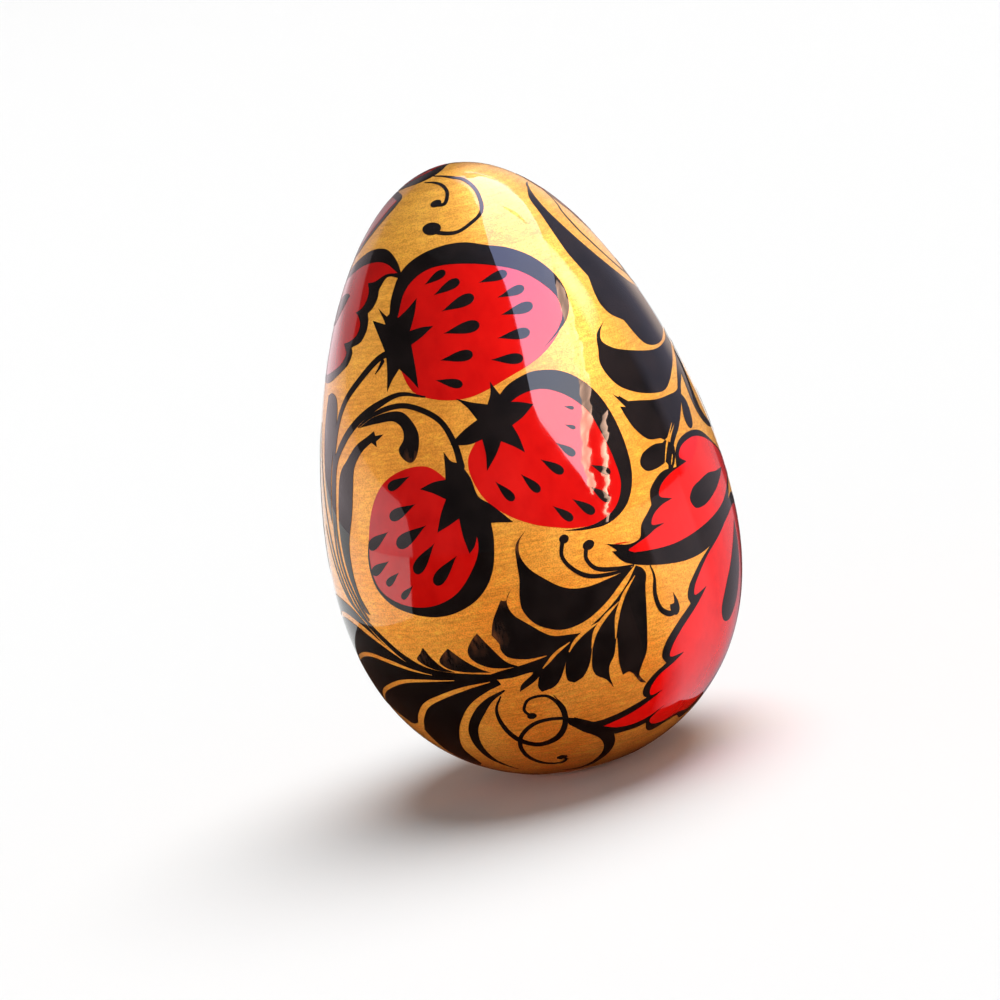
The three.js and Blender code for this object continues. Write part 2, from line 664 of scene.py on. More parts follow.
wood_outline = [(0, 0), *profile(WOOD_DEPTH, 0, COAT_ROWS)]
primer_outline = shell_outline(PRIMER_DEPTH, PRIMER_BACK, COAT_ROWS)
gold_outline = shell_outline(GOLD_DEPTH, GOLD_BACK, GOLD_ROWS)
lathe("wood_body", wood_outline, COAT_STEPS, "limewood", "wood_core")
lathe("primer_layer", primer_outline, COAT_STEPS, "primer", "primer_coat")
gold = lathe("gold_ground", gold_outline, GOLD_STEPS, "gold_ground", "gold_coat", "lacquer_coat")

PAINTS = []


def paint(kind, name, slot, level, lon):
    PAINTS.append(kind(name, slot, level, lon))
    return PAINTS[-1]


def red(name, lon, level=UNDER):
    return paint(Paint, name, "red_paint", level, lon)


def black(name, lon, level=LINES):
    return paint(Paint, name, "black_paint", level, lon)


# ---------------------------------------------------------------- the three berries


def first_berry():
    red("berry_1_red", 0).shape(
        (-32.6, 74.6), (-28.3, 71.7), (-20.2, 70.2), (-9.7, 69.7), (4, 71.1), (16, 72.7), (24.6, 74.8),
        (31, 77.5), (33.5, 80), (30.5, 83.4), (20, 86), (5, 87.9), (-12, 88.6), (-25, 87.8),
        (-34, 85.3), (-36.5, 82), (-36, 78))
    skin = black("berry_1_black", 0)
    skin.shape(
        (-38.3, 82, C), (-38, 84), (-34, 87.3), (-25, 89.1), (-12, 89.9), (0, 89.7), (10, 88.6),
        (20, 87.4), (30, 84.8), (35, 81.2), (34.3, 78.6), (31, 76.6), (25, 75), (18, 73.6, C),
        (25, 75.3), (29, 76.9), (30.2, 79.1), (28, 81), (20, 84), (10, 85.6), (0, 86.6), (-12, 87.2),
        (-20, 87), (-27, 86), (-31.5, 84.4), (-34, 81.5, C))
    skin.shape(
        (-44.8, 82.9, C), (-41, 81.3), (-40, 80.7, C), (-47.3, 81.4, C), (-42.5, 79), (-39.2, 77, C),
        (-38.4, 74.8), (-38.5, 72.1, C), (-36.3, 73.5), (-33.3, 74.8, C), (-29.5, 73.5), (-26.2, 72, C),
        (-26.8, 74.6), (-28, 77.6, C), (-23.5, 78.4), (-18.8, 79.5, C), (-23.5, 79.6), (-28.4, 79.4, C),
        (-26.4, 81.4), (-25.2, 83.5, C), (-29, 82.4), (-33.8, 81.3, C), (-36, 82.2), (-38.3, 82, C),
        (-39.6, 81.7, C))
    skin.seeds(
        0.25, ((-21, 85.1), (-12, 86.3)), ((-17, 83.5), (-6.5, 84.7)), ((-14.3, 81.2), (-2, 82.2)),
        ((-14.5, 78.3), (-2.2, 78.5)), ((-17, 75), (-6.5, 75)), ((-19.5, 72.6), (-11.5, 71.5)),
        ((2.5, 83.8), (14, 84.2)), ((8, 81.3), (18.5, 81.7)), ((7.5, 79), (19, 79.2)),
        ((4, 76.2), (14.5, 76)), ((0, 73.7), (9.5, 73)))


def second_berry():
    red("berry_2_red", 8).shape(
        (20, 50.9), (12, 51), (5.8, 51.8), (0, 52.9), (-5.4, 54.5), (-10.3, 56.7), (-13.4, 60),
        (-13.3, 62.3), (-9.4, 64.6), (-4, 67.5), (2.5, 69.2), (9, 70), (16, 69.4), (23.5, 67.8),
        (28, 65), (29.5, 60), (29, 55.5), (26, 52.3))
    skin = black("berry_2_black", 8)
    skin.shape(
        (-1, 69, C), (3, 70.2), (9, 70.95), (12.5, 71.05), (20, 70.3), (26.5, 68.2), (30.7, 65),
        (32.6, 60), (31.5, 55.2), (27.5, 52.1), (21, 50.5), (14, 50.5), (8, 51.1, C), (17, 50.9),
        (23.7, 52.1), (27.3, 54.6), (27.5, 58), (26.2, 61.7), (24.5, 64.5), (19, 67.3), (12.5, 68.7),
        (6, 68.6), (0, 67.5, C))
    skin.shape(
        (-2.3, 71.1, C), (-0.6, 69.6), (1, 68.2, C), (5, 67.8), (9, 67.1, C), (5, 65.9), (1.3, 65.2, C),
        (2.4, 63.6), (3, 61.6, C), (0.4, 62.6), (-2.9, 63.6, C), (-5, 62.2), (-8.6, 60.4, C),
        (-8, 62.5), (-8.2, 64.3, C), (-12.5, 64), (-18, 64.4, C), (-13, 65.9), (-8.6, 66.8, C),
        (-11, 68.6), (-14, 69.9, C), (-9.5, 69.1), (-4.6, 68.4, C), (-3, 69.6))
    skin.seeds(
        0.26, ((-6.8, 58.8), (-3.2, 56.3)), ((0.6, 59), (4.2, 56.6)), ((7, 60.2), (11.8, 58.1)),
        ((12.5, 61.7), (16.5, 59.8)), ((7, 54.3), (11, 52.2)), ((12.7, 54.5), (17.3, 52.3)),
        ((18.5, 55.4), (22.5, 53.2)), ((20.5, 57.9), (25, 56.4)), ((16.5, 63.6), (19, 62.9)),
        ((18, 65.8), (20.5, 65.3)))


def third_berry():
    red("berry_3_red", -32).shape(
        (-20.5, 60.2), (-26, 62.2), (-34, 62.25), (-42, 60.8), (-47.2, 58), (-50.2, 54.3), (-51.8, 50),
        (-49.5, 47), (-43, 45.3), (-33, 44.2), (-24, 44.9), (-16.5, 47.5), (-13, 52), (-14.5, 56.5))
    skin = black("berry_3_black", -32)
    skin.shape(
        (-50.3, 54, C), (-51.8, 52), (-52.1, 50), (-50.8, 47.7), (-46.5, 45.6), (-39, 44.1),
        (-31, 43.45), (-24, 43.9), (-17.5, 45.4), (-13, 48), (-10.7, 51.8), (-10.4, 54.5, C),
        (-15.2, 54.8, C), (-15.3, 51.2), (-18.5, 48.6), (-23.8, 46.2), (-29.7, 45.1), (-36.3, 44.9),
        (-43.4, 45.7), (-48.8, 47.2), (-51, 49), (-51.3, 51.5))
    skin.shape(
        (-20.3, 63.7, C), (-20.6, 61.6), (-21, 60.3, C), (-25, 60.2), (-29.3, 59.6, C), (-25.5, 58.9),
        (-21.8, 57.9, C), (-24, 56.2), (-26, 54, C), (-22.5, 54.6), (-19, 55.3, C), (-18.8, 53),
        (-18, 50.8, C), (-16.2, 51.6), (-14.6, 53.2, C), (-12, 54), (-4.5, 53.6, C), (-9.5, 56.3),
        (-12.4, 57.5), (-13.7, 60), (-16, 62, C), (-18.4, 62.4))
    skin.seeds(
        0.24, ((-32.5, 61.3), (-40, 60.2)), ((-31.8, 57.8), (-40.5, 56.5)),
        ((-42.5, 54.7), (-50.5, 52.9)), ((-29.5, 55), (-39.3, 53)), ((-44, 51), (-51, 49.6)),
        ((-41, 49.5), (-46, 48.1)), ((-37, 47.7), (-41.5, 46.3)), ((-27.8, 52.6), (-35, 49.5)),
        ((-22, 50.7), (-29.5, 47.8)))


first_berry()
second_berry()
third_berry()

# ---------------------------------------------------------------- upper part


def top_curls():
    curls = black("curls_top", -10)
    curls.stroke(
        (0.15, 0.5, 0.5, 0.55, 0.5, 0.6), (-40, 103), (-25, 102.5), (-8, 101.9), (5, 101), (14, 100.2),
        (19, 98.5), (19.3, 96.5), (15, 93.6), (6, 92.2), (-3, 91.4), (-13, 91.9), (-17, 92.6))
    curls.blob((-17.3, 92.7), 1.25, 0.95, -10)
    curls.stroke(
        (0.15, 0.45, 0.45, 0.5, 0.6), (-35, 101.2), (-20, 100.8), (-9, 99.8), (-4.5, 98), (-8, 96.2),
        (-13.5, 96.3))
    curls.blob((-14.6, 96.6), 0.75, 0.6, 15)


def left_flower():
    black("flower_left_edge", -60).shape(
        (-33.2, 86.4, C), (-34.5, 87.6), (-38.3, 89.2), (-47, 90.8), (-60, 90.9), (-72, 89.8),
        (-85, 88), (-100, 85.5), (-106, 81), (-98, 75), (-85, 73.3), (-76, 73.4), (-70, 74.1),
        (-64, 75.1), (-60, 76), (-58, 77.4), (-59, 78.1, C), (-53, 78.8), (-50.2, 80.3), (-50, 81.5, C),
        (-51, 82.4, C), (-48.3, 83), (-46.2, 84.2), (-46, 85.4, C), (-42, 86.9))
    red("flower_left_red", -60, INSET).shape(
        (-36, 87.3, C), (-43, 88.6), (-50, 89.1), (-63, 88.8), (-77, 87.4), (-90, 85.8), (-99, 83.5),
        (-101, 80), (-94, 76), (-85, 74.3), (-70, 75.3), (-64.5, 76.3), (-62.5, 77.3), (-65.5, 78.6, C),
        (-60, 79), (-56.5, 79.7), (-55, 81), (-57.5, 82.1), (-60, 82.6, C), (-56, 83.1), (-53.5, 84),
        (-53, 85.2), (-55, 86.4, C), (-50, 86.5), (-43, 87.3))
    black("flower_left_drop", -78, DROPS).shape(
        (-69.5, 84.8, C), (-74, 85), (-82, 84.4), (-90, 82.6), (-91, 80.6), (-84, 80.6), (-76, 82.6))
    black("leaf_tip_edge", -75).shape(
        (-55.5, 98.6, C), (-62, 99.3), (-72, 99.6), (-88, 99.8), (-104, 98.5), (-112, 96, C),
        (-103, 92), (-94, 90.2), (-84, 90), (-75, 92), (-66, 94.5), (-58, 97))
    red("leaf_tip_red", -80, INSET).shape(
        (-62, 98.2, C), (-72, 98.6), (-88, 98.6), (-101, 96.8), (-104, 95.4, C), (-98, 92.4),
        (-90, 91.2), (-82, 91.8), (-72, 94.6))


def upper_leaf():
    leaf = black("leaf_upper_right", 65)
    leaf.shape(
        (78, 95.8, C), (70, 95.7), (64, 95), (58, 94.3), (53, 93.2), (50, 90.8), (47.6, 87.5),
        (47, 84.5), (48, 82.5), (49.5, 80.5, C), (47.4, 78.2), (47.1, 76.6), (49, 75), (54, 73.6, C),
        (55.5, 71.8), (58, 70), (62, 69.2), (70, 69), (80, 69.8), (90, 70.4), (100, 69.6, C),
        (94, 72.8), (86, 75.8), (76, 77.8), (67, 81.2), (61, 84.8), (57.5, 88.5), (57.3, 91.5),
        (62, 94), (70, 95.3))
    leaf.stroke(
        (0.2, 0.45, 0.35, 0.4, 0.3, 0.2), (84, 93.4), (75, 91), (70, 89.8), (67.8, 87), (69, 85),
        (73, 82), (79, 79.5), (88, 77.4), (96, 74), (102, 69.6))


def right_leaves():
    leaves = black("leaves_right", 60)
    leaves.shape(
        (44, 74.4, C), (38.6, 73.2), (36.3, 71.2), (34.8, 69.6), (36, 67.5), (38.5, 66), (44.5, 64.5),
        (52, 63.6), (57, 63.5), (68, 65.5), (78, 67.4), (88, 68.8), (101, 68.9, C), (88, 69.6),
        (75, 68.8), (62, 68.6), (50, 69.7), (42, 71), (39.2, 72.2), (40.6, 73.4))
    leaves.shape(
        (34.6, 65.5, C), (36.2, 64.9), (36.6, 65, C), (39, 64, C), (44, 63.5), (50, 62.9), (57, 62.7),
        (64, 62.8), (72, 64.8), (82, 66.6), (92, 68), (101, 68.6, C), (90, 66.8), (76, 64.6),
        (66, 62.6), (57, 60), (50, 58.2), (45.8, 57.6, C), (42, 57.8), (37, 57.2), (35.3, 56.1),
        (36.6, 55.1), (40, 54.9), (44.6, 55.2, C), (46, 54.1), (50, 56.6), (45.8, 58.2, C), (41, 58.7),
        (37.6, 60.5), (36.2, 62.2), (35.5, 63.7, C), (37.4, 63.4, C))
    leaves.stroke(
        (0.4, 0.9, 0.8, 0.5), (44.6, 54), (50, 57.2), (55, 58.9), (60, 60.7), (70, 64.2), (80, 66.6))
    leaves.stroke((0.1, 0.35, 0.1), (43.4, 54.7), (47.5, 57.3), (53, 59.4), cut=True)
    leaves.stroke((0.1, 0.25, 0.1), (46.2, 54.6), (48.2, 55.8), cut=True)
    leaves.shape(
        (64.5, 62.3, C), (66.2, 61), (66, 59.8), (65, 58.7), (63.5, 57.8), (61.5, 57.6), (60.3, 58.3),
        (60.5, 59.4), (62, 60.6))
    leaves.stroke(
        (0.3, 1.6, 2.6, 2.4, 1.2, 0.3), (94, 67.6), (80, 65.6), (74.4, 62), (73.8, 58.8), (78, 56.8),
        (87, 55.6))


def petals():
    """Two petals of the large flower on the right; the rest of it is on the back."""
    black("petal_1_edge", 50).shape(
        (18.5, 48.1, C), (21.2, 47.7), (25, 47.2), (28.6, 47.5), (30, 49), (33, 50.2), (34.8, 50.9, C),
        (35.6, 52.5), (38, 53.5), (42, 54.3), (48, 54.1, C), (49.6, 55.8), (53, 57), (60, 57.4),
        (67, 56.7), (76, 54), (84, 52), (92, 50.5, C), (80, 48.6), (70, 46.1), (60, 44), (53, 42.9),
        (44, 42.6), (35, 43.2), (26, 44.4), (22, 45.4), (19.6, 47, C), (21, 46.9))
    petal = red("petal_1_red", 50, INSET)
    petal.shape(
        (26, 46, C), (24.4, 46.5), (27, 46.9), (31, 47.4), (34, 47.9), (37.5, 48.2, C), (33.2, 48.6),
        (34.5, 49.6), (38, 50.4), (42.5, 50.7, C), (38.3, 51.6), (39.5, 52.6), (44, 53.6),
        (53, 54.2, C), (50.5, 55.1), (52.5, 56.1), (60, 56.6), (67, 55.8), (75, 53.9), (82, 51.9),
        (88, 50.3, C), (78, 48.9), (66, 47), (52, 45.8), (40, 45.3), (33, 45.5))
    petal.shape((20.6, 47.8, C), (23, 47.7), (26, 47.4, C), (24, 47.5), (22, 47.6))
    black("petal_1_drop", 60, DROPS).shape(
        (75, 50.9, C), (68, 51.1), (62, 51.5), (56, 51.2), (52, 50.8), (49.4, 49.7), (50.6, 48.4),
        (55, 48.1), (63, 48.9), (70, 50))
    black("petal_2_edge", 50).shape(
        (56, 43.4, C), (50, 42.2), (46.5, 41.2), (42, 39.3), (41, 38), (41.9, 37, C), (36, 35.1),
        (31.4, 33), (30.2, 31.4), (31.8, 30.2, C), (27, 29.1), (23.8, 27.7), (23.6, 26.4),
        (25, 25.8, C), (20, 25.2), (13, 24.5), (6, 24.3), (3, 24.9), (-0.6, 26), (0.6, 24.6), (5, 23.5),
        (9, 22.4), (13, 20.7), (18, 20.5), (23, 20.5), (27, 20.8, C), (29, 19), (32, 18.3), (40, 19),
        (45.5, 19.3), (52, 17.9), (60, 18.6), (70, 22), (80, 28), (92, 40, C), (80, 47))
    red("petal_2_red", 50, INSET).shape(
        (58, 43.3, C), (52, 42.1), (47, 40.4), (44, 38.8), (43.8, 37.9), (49.5, 38.3, C), (44, 36.3),
        (38, 34.3), (34, 32.3), (33.2, 31), (39, 30.8, C), (35, 29.9), (29, 28.7), (26.2, 27.2),
        (26.6, 26), (31.5, 26.2, C), (27, 25.2), (19, 23.9), (9, 23, C), (14, 22), (21, 21.6), (27, 22),
        (34.5, 23.3, C), (31, 22.3), (28.5, 21.3), (30, 20.2), (35, 19.6), (45, 20), (54, 19.6),
        (62, 21.6), (72, 26), (82, 33), (90, 41, C), (80, 45.4), (68, 45))
    black("petal_2_drop", 66, DROPS).shape(
        (74, 44, C), (74.3, 40), (72.5, 36), (69.5, 33.5), (64, 31.8), (59, 32.4), (57.5, 34.2),
        (60, 36.6), (65, 39.4), (70.5, 42.4))


def right_hook():
    hook = black("curl_right", 32)
    hook.stroke(
        (0.15, 0.55, 0.65, 0.8), (29.8, 43.8), (30.4, 42.3), (29.7, 39.9), (31, 37.8), (34, 36.8),
        (36, 36.9))
    hook.shape(
        (35.8, 39.4, C), (37.2, 38), (37.4, 36.8), (36, 36.3), (34.2, 37.3), (34.2, 38, C), (35.6, 38))


top_curls()
left_flower()
upper_leaf()
right_leaves()
petals()
right_hook()

# ---------------------------------------------------------------- centre and lower part


def centre_leaves():
    leaf = black("leaf_centre", 5)
    leaf.shape(
        (-1.5, 52.4, C), (-4.1, 51.1), (-4.8, 49.5), (-3.5, 47.8), (-0.5, 46.2), (4.9, 44.2),
        (10, 43.6), (18, 43.9), (25, 44.4, C), (21.2, 43.2), (15, 41), (9.5, 39.6), (5.7, 39.1),
        (2.4, 39), (-1, 39.4), (-5, 40.6), (-7.4, 42.6), (-7.4, 44.2), (-6.3, 46.6), (-6, 48.6),
        (-5.2, 50.8))
    leaf.blob((7.6, 50.1), 0.62, 0.55, 20)
    leaf.stroke(
        (0.5, 0.5, 0.6, 0.5, 0.2), (7, 49.8), (6, 48.2), (7.4, 46.6), (11.6, 44.9), (18.3, 44.3),
        (24, 44.3))
    leaf.blob((13.7, 48.6), 0.78, 0.6, 15)
    leaf.stroke(
        (0.5, 0.5, 0.6, 0.5, 0.2), (12.8, 48.2), (12.2, 47.1), (14, 45.6), (19.1, 44.8), (25, 44.5))
    leaf.fade(1.6, (-5.6, 50.2), (-3, 51.8))


def fern():
    """The dark mass under the centre leaf, with fingers parted by slivers of ground."""
    mass = black("fern", 0)
    mass.shape(
        (-9, 45.6, C), (-10.7, 44.6), (-11, 43.4), (-10, 42.2), (-7, 40.8), (-3.1, 39.1), (-1, 38.5),
        (3, 38.2), (7, 38.1), (11.5, 39.1), (17, 40.7), (22, 42.6), (25.5, 44.4, C), (27.2, 43.8),
        (28, 43), (27.1, 41.4), (26.3, 38.6), (25.6, 35.5), (24.9, 33), (22.8, 31), (22.1, 29.9),
        (24.6, 28.3, C), (22.3, 28.8), (20, 30.4), (18.7, 30.9), (16.6, 30.7, C), (15.9, 32.6),
        (16.2, 36.1), (14.6, 33.8), (12.9, 32.6), (12.5, 31.2), (13.4, 29.2, C), (11.4, 30.7),
        (8.5, 31.8), (7.8, 33), (8.9, 35.9), (7.2, 33.6), (4.6, 32), (1.9, 31.5, C), (0.2, 32),
        (0.3, 34), (2.4, 36.4), (-1.4, 32.8), (-4, 31.6), (-8.1, 31.2, C), (-8.7, 32), (-7, 33.9),
        (-4, 35), (-9, 33), (-14.4, 31.8, C), (-13.4, 32.7), (-9, 34.2), (-16, 34), (-27, 34.4, C),
        (-18, 35.2), (-10, 35.6), (-4, 36.1), (-10, 36.2), (-14.8, 37), (-16, 38.1), (-15.9, 38.8),
        (-17.4, 40.2, C), (-15.9, 42), (-12.5, 44.4, C), (-11.4, 44.2))
    mass.stroke((0.1, 0.5, 0.6, 0.15), (24.6, 43.2), (20.4, 41.3), (17.4, 38.9), (15.8, 36), cut=True)
    mass.stroke((0.1, 0.5, 0.6, 0.15), (18.5, 40.6), (13.6, 39.1), (10.4, 37.6), (8.6, 35.6), cut=True)
    mass.stroke((0.1, 0.45, 0.5, 0.15), (12, 38.8), (7.4, 38), (4.2, 37), (2.2, 35.9), cut=True)
    mass.stroke((0.1, 0.4, 0.45, 0.15), (3, 37.2), (-1.6, 36.1), (-4, 35.2), (-6, 34.5), cut=True)
    mass.fade(2.2, (-17, 40), (-10.4, 45))
    mass.fade(1.8, (22.4, 29.2))


def brush_leaves():
    dabs = black("leaf_dabs", -28)
    dabs.shape(
        (-21.3, 40.7, C), (-23.4, 39.9), (-25.5, 38.5), (-25.1, 37.4), (-22, 36.2), (-18, 35.6),
        (-12.3, 35.4, C), (-15.4, 36.3), (-18.4, 38.4))
    dabs.shape(
        (-31.2, 39.2, C), (-33.7, 38.4), (-35.3, 37.5), (-33.5, 36.5), (-29, 35.8), (-20.8, 35.2, C),
        (-24.5, 36.2), (-28.4, 37.8))
    dabs.shape(
        (-39.3, 39.6, C), (-41, 38.8), (-42.8, 38.1), (-41, 37.2), (-37.4, 36.4), (-31.5, 35.8, C),
        (-35, 36.7), (-37.4, 38))
    dabs.fade(2.8, (-22.6, 40.2), (-32.6, 38.8), (-40.6, 39.2))


def lower_left():
    leaves = black("leaves_lower_left", -45)
    leaves.stroke(
        (0.5, 0.9, 1.0, 0.8, 0.8), (-16, 34.3), (-24.9, 34.85), (-31.9, 35.3), (-41.1, 36.4),
        (-48, 38.4), (-53.6, 40.6), (-59.1, 42.7))
    leaves.shape(
        (-44, 36.7, C), (-50.8, 38.6), (-56.3, 40.8), (-62, 43.2), (-68, 44.8), (-76, 45.5),
        (-86, 45.3), (-93, 43.8), (-96.5, 42), (-93.5, 40.3, C), (-98, 39.2), (-100, 36.6), (-98, 34.2),
        (-93.5, 32.9, C), (-92.5, 30.8), (-88, 29.4), (-83, 29.3), (-78, 30.1, C), (-74.4, 29.4),
        (-68.8, 28.1), (-65, 27.3), (-59, 27.8, C), (-61, 24.6), (-62.6, 21.2), (-62, 18.6),
        (-57, 17.2), (-51.6, 18, C), (-49.6, 20), (-48.2, 22.5), (-43, 25.7), (-37.4, 28.5),
        (-30.9, 31), (-23.5, 32.65), (-19, 33.3, C), (-20, 34.2), (-30, 35), (-38, 35.8))
    leaves.stroke(
        (0.1, 0.8, 0.9, 0.7, 0.3), (-50.8, 38.6), (-56.3, 40.3), (-65, 42.3), (-74.4, 43.2),
        (-84, 42.6), (-94, 40.4), cut=True)
    leaves.stroke(
        (0.1, 0.6, 0.6, 0.6, 0.3), (-39.7, 35.7), (-46.6, 36.5), (-55, 37.6), (-65, 38.3), (-75, 37.5),
        (-84, 35.8), (-94, 33), cut=True)
    leaves.stroke(
        (0.1, 0.4, 0.6, 0.6, 0.5), (-32.8, 34.7), (-43.4, 34.9), (-52, 34.8), (-60, 34), (-70, 32.4),
        (-78, 30.2), cut=True)
    leaves.stroke(
        (0.1, 0.6, 0.7, 0.9, 1.1), (-22, 33.9), (-30.5, 33.4), (-39.7, 32.4), (-48, 31.1),
        (-54.5, 29.1), (-60, 27), cut=True)
    leaves.stroke(
        (0.2, 1.2, 1.3, 1.0, 0.15), (-18.6, 32.4), (-24.5, 31.2), (-30.2, 29.2), (-34.7, 27.1),
        (-37.5, 25), (-39.4, 22.3), (-39.8, 19.4), (-38.1, 17.3), (-35.6, 15.6))
    leaves.fade(2.0, (-36, 15.8), (-62, 18))


def lower_curls():
    curls = black("curls_bottom", -8)
    curls.stroke(
        (0.2, 0.6, 0.85, 0.9, 0.6, 0.4, 0.4), (-20.5, 31.6), (-23.6, 29.6), (-24.1, 26.7),
        (-21.4, 23.6), (-15.5, 22.1), (-8.1, 22.9), (-3.9, 25.4), (-3.9, 28.3), (-7, 30.4),
        (-12.7, 30.4), (-15.1, 28.9), (-14.2, 27.9))
    curls.blob((-13.5, 27.7), 0.62, 0.5, 0)
    curls.stroke((0.1, 0.25, 0.1), (-2.6, 25.6), (-2.8, 28), (-5, 30.3))
    curls.shape(
        (-3.4, 26.3, C), (0.5, 25.7), (4.9, 24.5), (9.5, 23.1), (12.6, 21.3), (14, 18.8), (13.3, 16.7),
        (11.1, 15), (7.7, 13.6), (3.7, 12.4), (-1, 11.8), (-5.3, 11.6), (-11, 11.8), (-15, 12.6, C),
        (-10, 12.1), (-5.3, 12.1), (-1.4, 12.6), (2.6, 13.4), (6, 14.8), (8.4, 16.4), (9.1, 18),
        (8.4, 19.6), (6.5, 21), (4.3, 21.9), (1.5, 22.9), (-0.8, 24), (-3, 25.2))
    curls.stroke(
        (0.5, 0.6, 0.6, 0.6, 0.6, 0.5), (-3, 26.2), (-9, 26.6), (-14.3, 26.2), (-20, 24.4),
        (-22.8, 22.1), (-22.9, 19.2), (-18.3, 16.7), (-11.5, 16.1), (-8.4, 17))
    curls.blob((-9.8, 17.8), 0.7, 0.6, 0)


def berry_stems():
    """The stem and the curled leaf over the third berry."""
    stem = black("stem_berry_3", -32)
    stem.stroke(
        (0.2, 0.7, 0.7, 0.7, 0.9), (-52, 68), (-45, 69.4), (-34.7, 70.2), (-28.3, 69.7), (-20.2, 67.6),
        (-16.6, 64.4), (-15.7, 61.5))
    stem.shape(
        (-51.5, 67.9, C), (-45, 69.1), (-36.7, 69.6), (-32.6, 69.3), (-29.4, 68), (-27.7, 66.4),
        (-28.2, 64.6), (-30, 63.2), (-31.7, 63), (-34.4, 63.9), (-35.1, 64.8), (-33, 66), (-33.2, 67.3),
        (-36, 68.3), (-43, 68.3))
    stem.fade(2.0, (-29.6, 63.6))


def left_sweeps():
    lines = black("stems_left", -50)
    lines.stroke(
        (0.9, 0.9, 0.9, 0.6, 0.4, 0.5), (-38, 77), (-42.6, 76.4), (-52, 73.9), (-60.3, 71.1),
        (-64.7, 68), (-67.5, 63), (-69.6, 57), (-69.5, 51), (-65, 46.5), (-59.5, 42.9))
    lines.stroke((0.6, 0.4, 0.1), (-40.6, 76), (-42.2, 75.2), (-44, 74.5))
    lines.stroke(
        (0.2, 1.0, 1.1, 0.9, 0.6, 0.5), (-24, 70.8), (-33.2, 71.6), (-42.6, 70.6), (-52, 68.8),
        (-60.3, 66.2), (-65.6, 63.4), (-67.3, 59.6), (-68.2, 54.5), (-66.2, 49.4), (-61.4, 45.3),
        (-58.5, 43.4))
    lines.shape(
        (-44.6, 67.4, C), (-44, 66.8, C), (-40.6, 66.9, C), (-42.4, 66.4), (-43.8, 66.1, C),
        (-43.6, 65.4, C), (-45.8, 66, C), (-50.3, 64.9), (-54.4, 62.9), (-55.6, 60.4), (-57, 57.3),
        (-60.6, 53), (-61.1, 49.9), (-60, 46.8), (-56.7, 44, C), (-59, 44.4), (-62.4, 47.2), (-65, 51),
        (-65.7, 55), (-64.6, 58.8), (-62.5, 62.2), (-58, 64), (-53.2, 65.7), (-47, 66.9))
    lines.shape(
        (-75.3, 71.8, C), (-71, 72.2), (-66.8, 71.6), (-65.3, 69.8), (-66.4, 67.2), (-69.4, 62.1),
        (-71.2, 55.5, C), (-74.4, 58.6), (-76.6, 64), (-77, 68))
    lines.stroke(
        (0.1, 0.5, 0.6, 0.4), (-84, 68), (-80, 62), (-75.5, 55), (-71, 49.6), (-65, 45), (-59.5, 42.9))
    lines.stroke((0.1, 0.4, 0.5, 0.3), (-79, 55), (-74, 50), (-68, 46), (-60, 43.2))
    lines.fade(2.0, (-58, 43.8))


centre_leaves()
fern()
brush_leaves()
lower_left()
lower_curls()
berry_stems()
left_sweeps()

# ---------------------------------------------------------------- sides and back


def upright_petal(name, axis, tip, base, width):
    """A scalloped petal with a black edge, red inside and a black drop."""
    long = base - tip
    degree = math.degrees(1 / float(radius_at((tip + base) / 2)))

    def outline(inset, *half):
        """Both sides of a half outline of (share of the width, share of the length)."""
        points = []
        for across, along, *corner in half:
            side = -max(0.0, across * width - inset) * degree
            shift = math.copysign(inset, long) * (1 - along)
            points.append((axis + side, tip + along * long + shift, *corner))
        return points + [(2 * axis - p[0], *p[1:]) for p in reversed(points) if p[0] != axis]

    half = ((0, 0, C), (0.45, 0.06), (0.8, 0.2), (0.72, 0.34, C), (1.0, 0.42), (1.0, 0.6),
            (0.78, 0.68, C), (0.86, 0.8), (0.6, 0.92), (0.3, 1.0))
    black(name + "_edge", axis).shape(*outline(0.0, *half))
    red(name + "_red", axis, INSET).shape(*outline(0.95, *half))
    drop = ((0, 0.3, C), (0.2, 0.5), (0.3, 0.7), (0.16, 0.86), (0, 0.9))
    black(name + "_drop", axis, DROPS).shape(*outline(0.0, *drop))


def flower_heart(name, lon, s, radius):
    """The middle of a flower: black, with a red ring of dots round a red centre."""
    centre_radius, ring_radius, dot_radius = 0.36 * radius, 0.72 * radius, 0.12 * radius
    dot_count = 9
    black(name + "_disc", lon, DROPS).blob((lon, s), radius, radius)
    dots = red(name + "_dots", lon, DOTS)
    dots.blob((lon, s), centre_radius, centre_radius)
    degree = math.degrees(1 / float(radius_at(s)))
    for k in range(dot_count):
        a = 2 * math.pi * k / dot_count
        place = (lon + ring_radius * math.sin(a) * degree, s + ring_radius * math.cos(a))
        dots.blob(place, dot_radius, dot_radius)


def tip_petal():
    """A petal that lies over the tip."""
    paint(TipPaint, "petal_tip_edge", "black_paint", LINES, 0).shape(
        (-6.9, -0.6), (-5.8, -2.4), (-4.6, -3.6), (-3.4, -4.1), (-2.2, -4.1), (-1.2, -3.6),
        (-0.4, -2.6), (0.1, -1.3), (0.8, 0.4), (2.0, 2.2, C), (0.6, 3.6), (-1.6, 4.6), (-4, 5),
        (-6.2, 3.8), (-7, 1.6))
    paint(TipPaint, "petal_tip_red", "red_paint", INSET, 0).shape(
        (-6.0, 0.2), (-5.2, -0.8), (-3.8, -1.5), (-2.4, -1.5), (-1.5, -1.0), (-0.9, -0.2), (-0.2, 0.8),
        (0.6, 2, C), (-0.4, 2.9), (-2, 3.7), (-4, 4), (-5.6, 3), (-6.2, 1.2))


